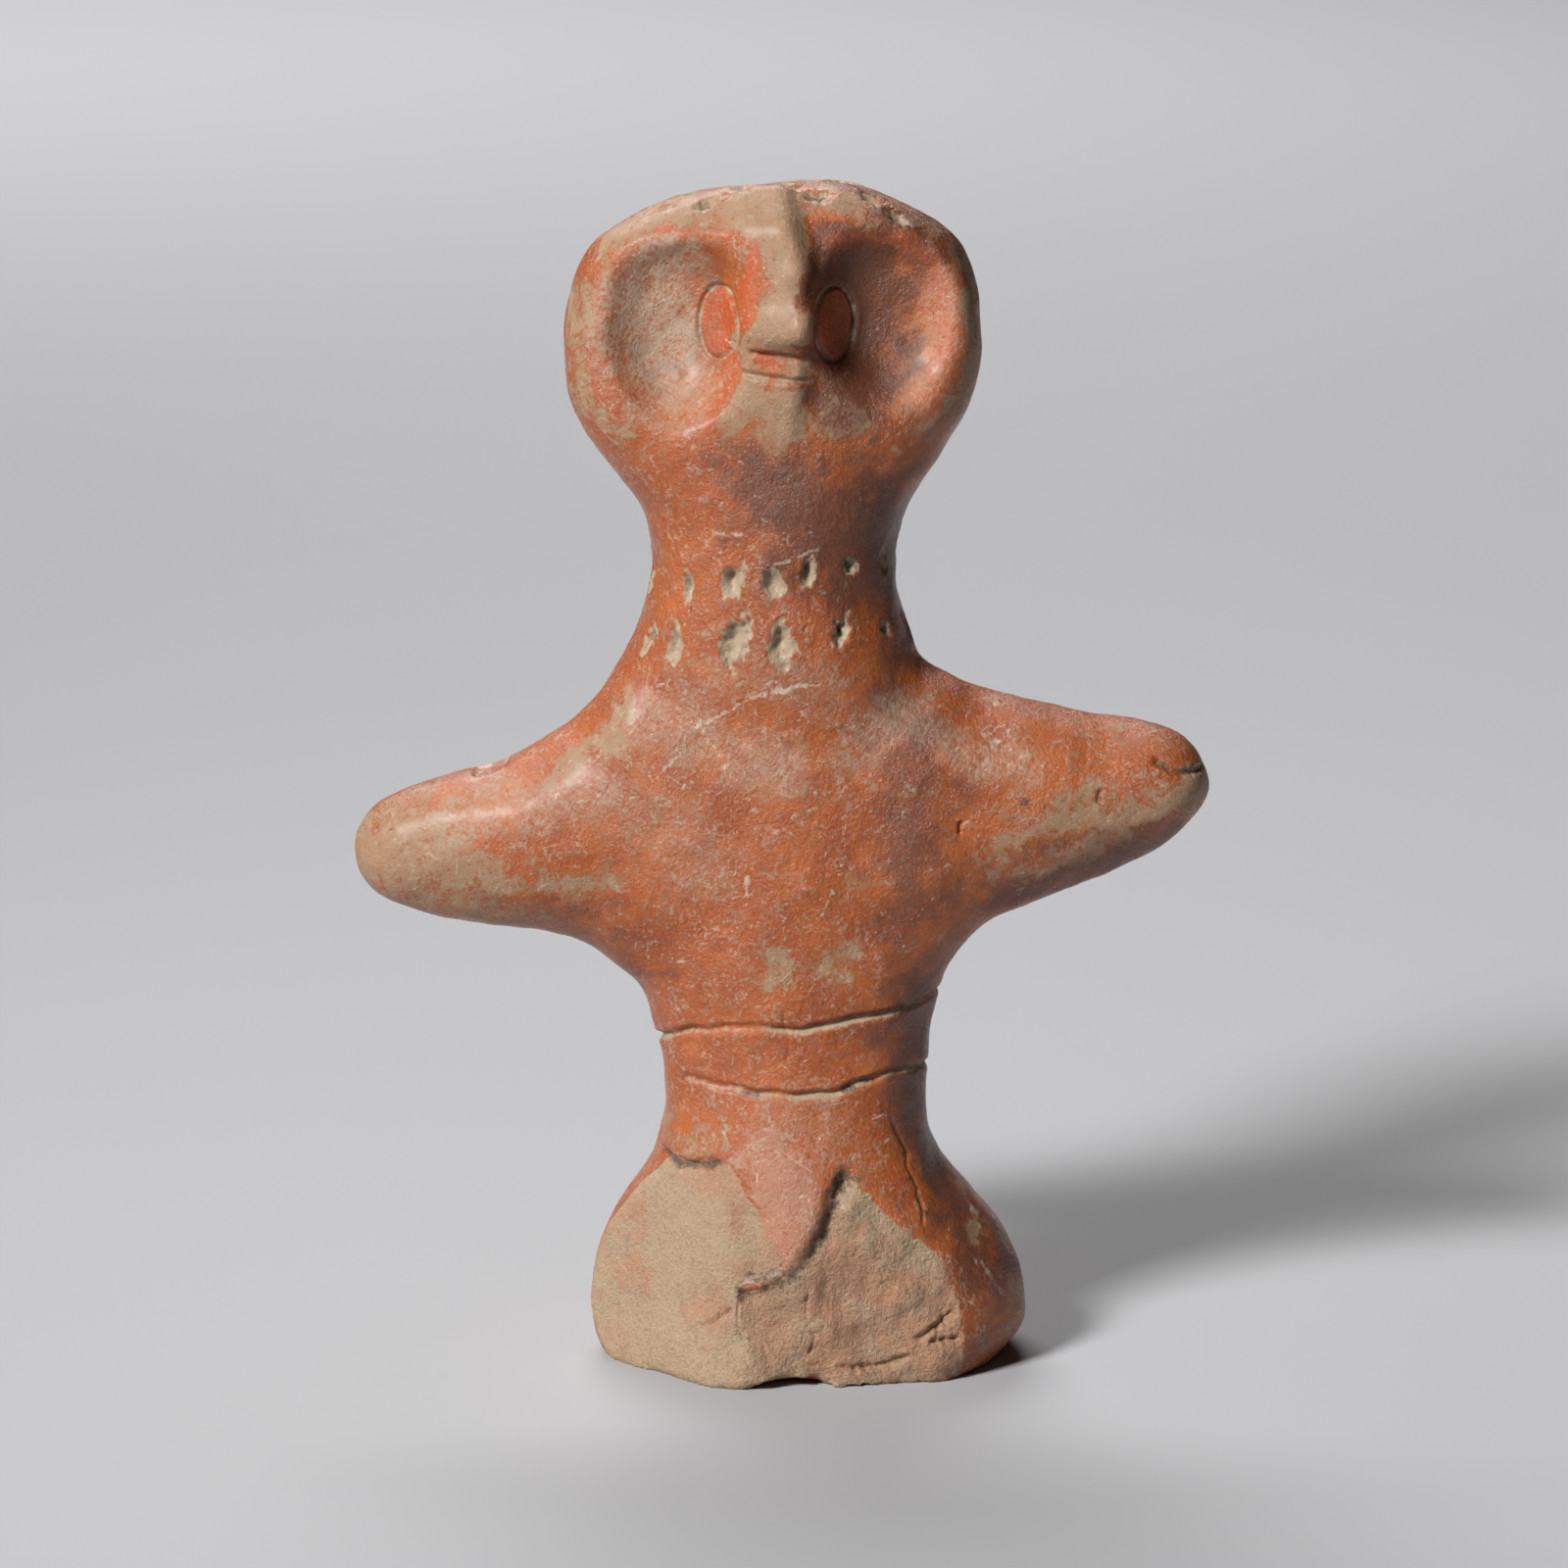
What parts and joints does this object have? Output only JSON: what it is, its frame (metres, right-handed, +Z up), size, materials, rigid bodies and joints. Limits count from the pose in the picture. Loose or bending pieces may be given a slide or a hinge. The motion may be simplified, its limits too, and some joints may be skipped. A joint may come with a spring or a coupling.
{
  "type": "terracotta figurine",
  "caption": "Standing terracotta female figurine with stub arms, hollowed owl-like face, pricked neck, incised belt and broken-off legs.",
  "frame": {"origin": "middle of the flat underside, on the surface the figure stands on", "axes": "+Z up through the head, the face looks along -Y, +X is the viewer's right (the figure's own left arm)"},
  "size_m": [0.1039, 0.0398, 0.144],
  "materials": {
    "terracotta": "burnished orange-red slip over buff clay, worn and scratched"
  },
  "bodies": {
    "root": {"figure": "terracotta"}
  },
  "joints": []
}
